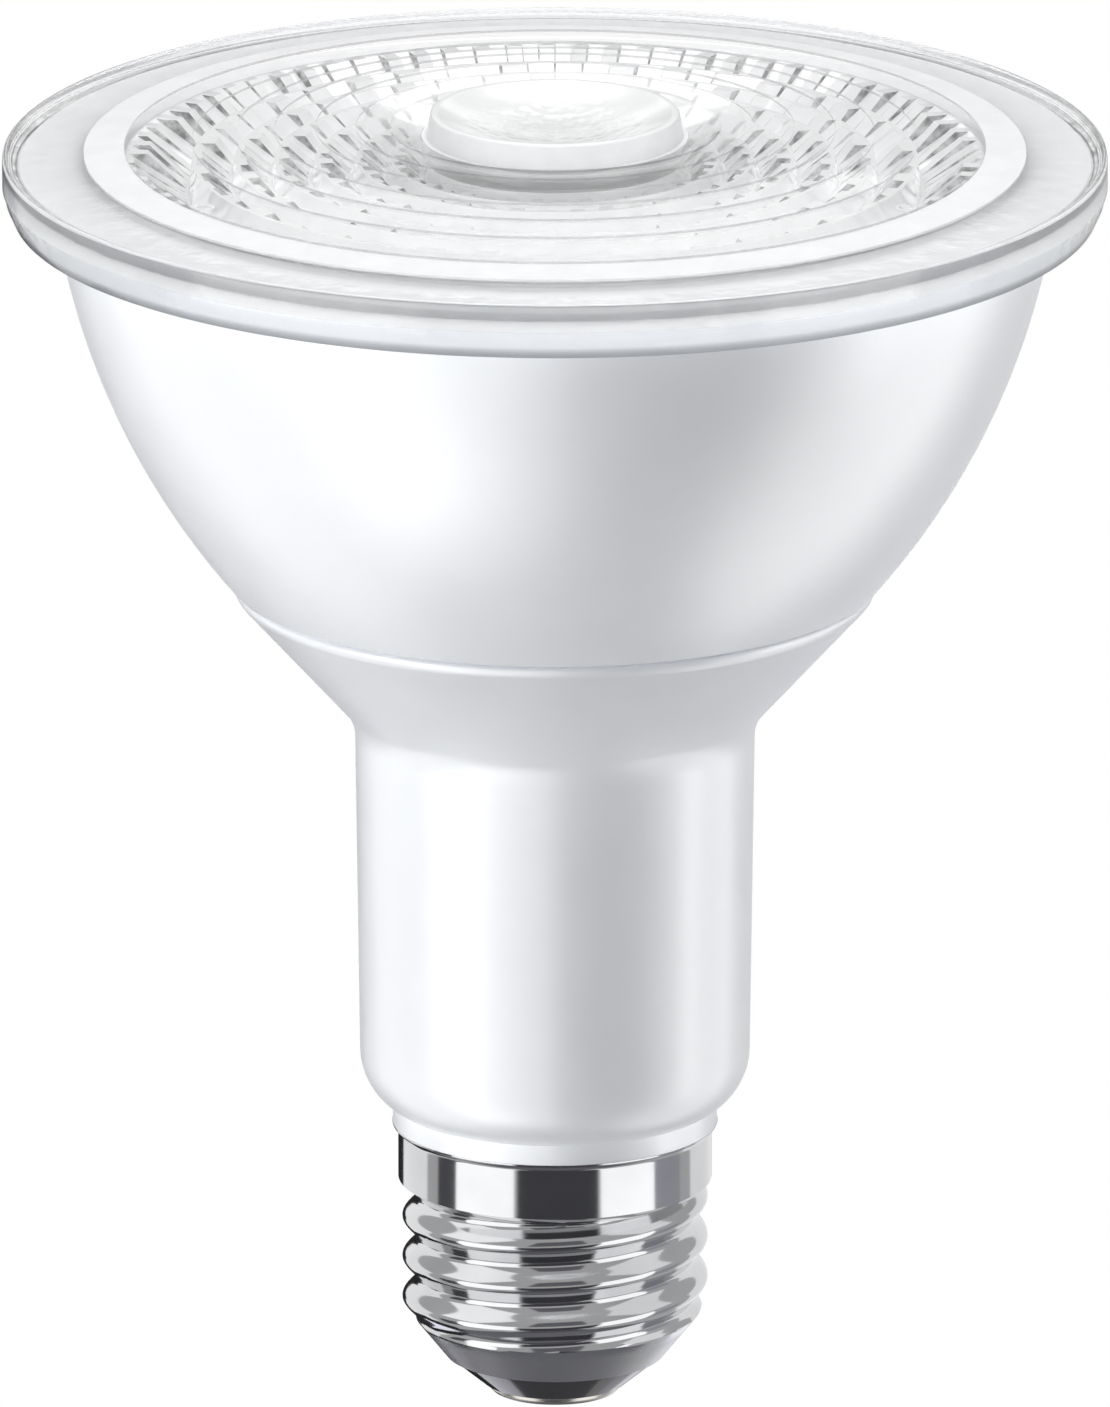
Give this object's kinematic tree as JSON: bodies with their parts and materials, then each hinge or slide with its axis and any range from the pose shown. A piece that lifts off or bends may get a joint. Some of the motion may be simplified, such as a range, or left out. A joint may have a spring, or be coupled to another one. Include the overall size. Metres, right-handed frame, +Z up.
{
  "type": "led_reflector_lamp",
  "caption": "Long-neck LED reflector lamp with a white plastic bowl and neck, a clear stepped prism lens with a centre cup, and a medium screw base",
  "frame": {"origin": "on the lamp's axis, at the underside of the centre contact", "axes": "+Z runs up the axis from the base to the lens, +X lies across the picture to the right, -Y points at the viewer"},
  "size_m": [0.095, 0.095, 0.1146],
  "materials": {
    "contact_metal": "satin",
    "black_insulator": "gloss",
    "plated_shell": "bright",
    "white_housing": "satin",
    "clear_lens": "clear",
    "bare_aluminium": "satin",
    "white_board": "satin",
    "led_body": "satin",
    "screw_steel": "satin",
    "connector_body": "matte",
    "red_insulation": "satin",
    "black_insulation": "satin",
    "white_insulation": "satin",
    "green_board": "satin",
    "ferrite": "matte",
    "winding_tape": "satin",
    "black_package": "matte",
    "resistor_body": "matte",
    "capacitor_sleeve": "satin",
    "film_case": "satin"
  },
  "bodies": {
    "root": {"centre_contact": "contact_metal", "base_insulator": "black_insulator", "screw_shell": "plated_shell", "neck_housing": "white_housing", "bowl_housing": "white_housing", "front_lens": "clear_lens", "heat_sink": "bare_aluminium", "led_board": "white_board", "led_packages": "led_body", "led_board_screws": "screw_steel", "led_connector": "connector_body", "led_lead_positive": "red_insulation", "led_lead_negative": "black_insulation", "driver_board": "green_board", "filter_choke": "ferrite", "transformer_winding": "winding_tape", "transformer_core": "ferrite", "switching_transistor": "black_package", "controller_chip": "black_package", "fuse_resistor": "resistor_body", "bridge_rectifier": "black_package", "bulk_capacitor": "capacitor_sleeve", "film_capacitor": "film_case", "live_lead": "black_insulation", "neutral_lead": "white_insulation"}
  },
  "joints": []
}
